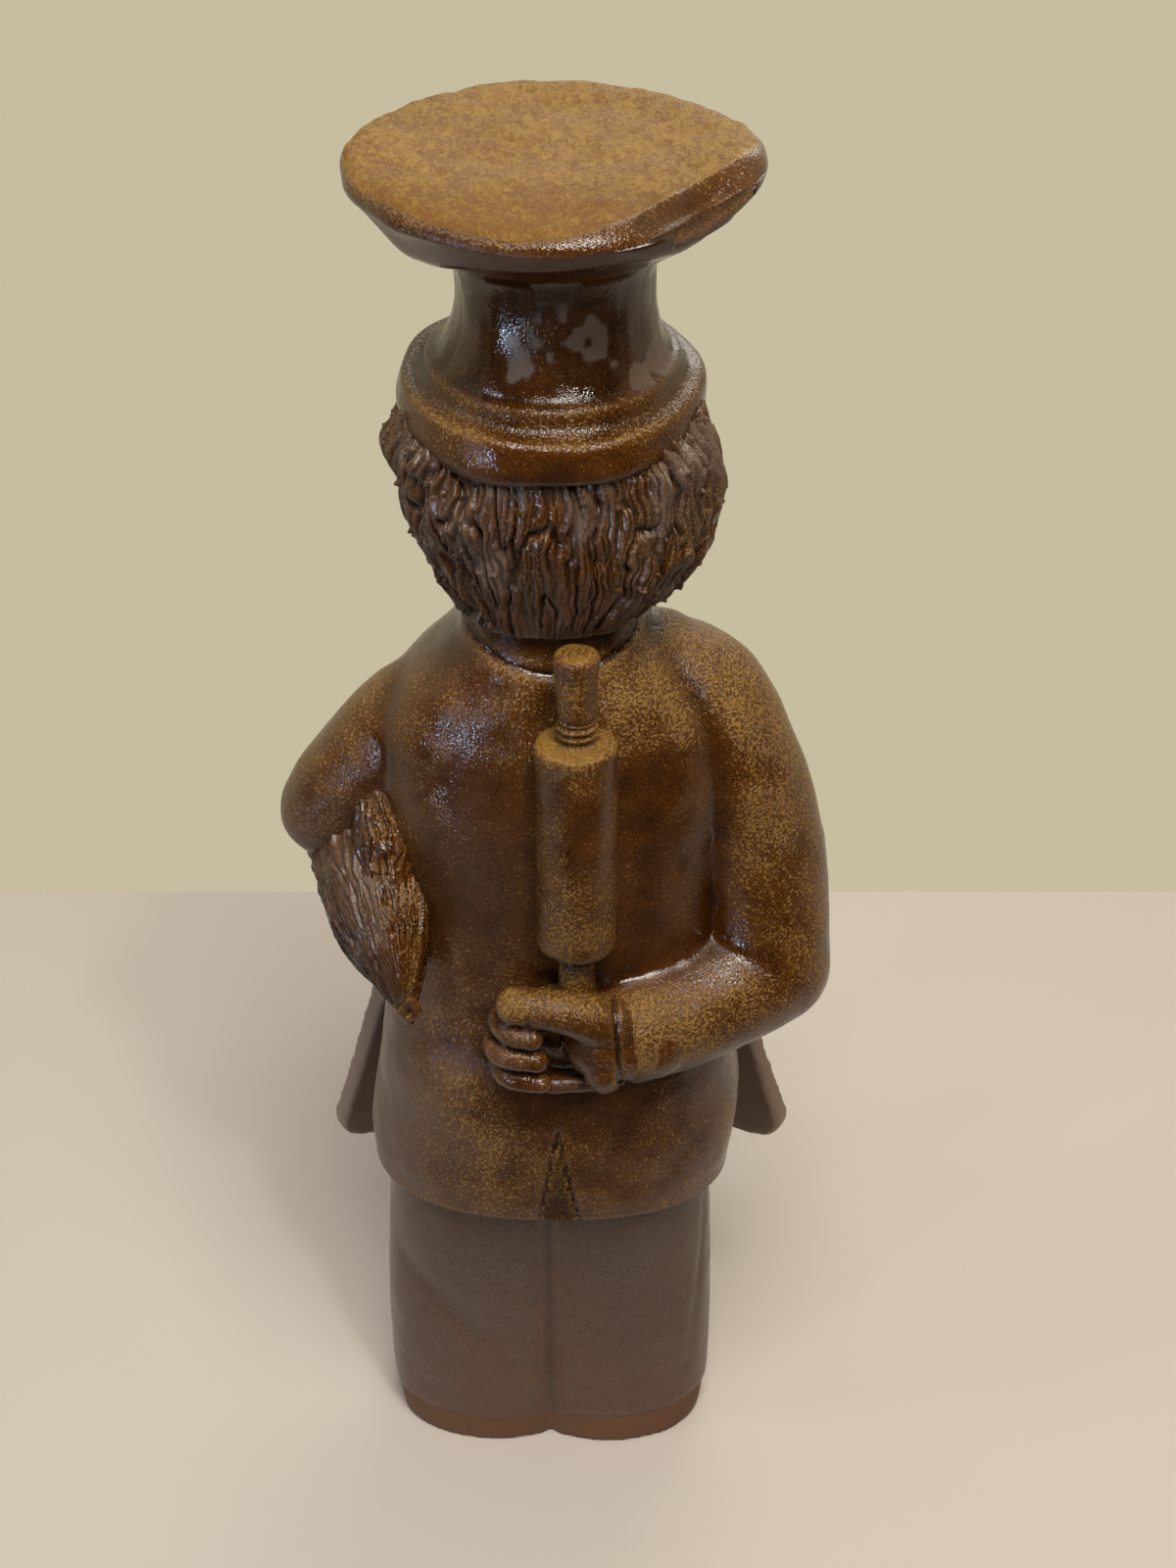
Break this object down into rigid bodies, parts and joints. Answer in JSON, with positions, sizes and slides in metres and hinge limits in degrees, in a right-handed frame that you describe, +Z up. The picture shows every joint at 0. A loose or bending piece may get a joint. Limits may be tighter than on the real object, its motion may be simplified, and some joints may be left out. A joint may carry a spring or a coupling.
{
  "type": "ceramic cook figurine",
  "caption": "Salt-glazed stoneware cook standing in cap, coat, apron and trousers, with a rolling pin behind the back and a bird under one arm.",
  "frame": {"origin": "middle of the bounding box's foot, on the surface the figurine stands on", "axes": "+Z up, the face looks along -Y, +X is the figure's left side with the bird"},
  "size_m": [0.1138, 0.0966, 0.3017],
  "materials": {
    "salt_glazed_stoneware": "dark red-brown salt glaze with golden tan speckle on raised places, unglazed red-brown band at the foot"
  },
  "bodies": {
    "root": {"figurine": "salt_glazed_stoneware"}
  },
  "joints": []
}
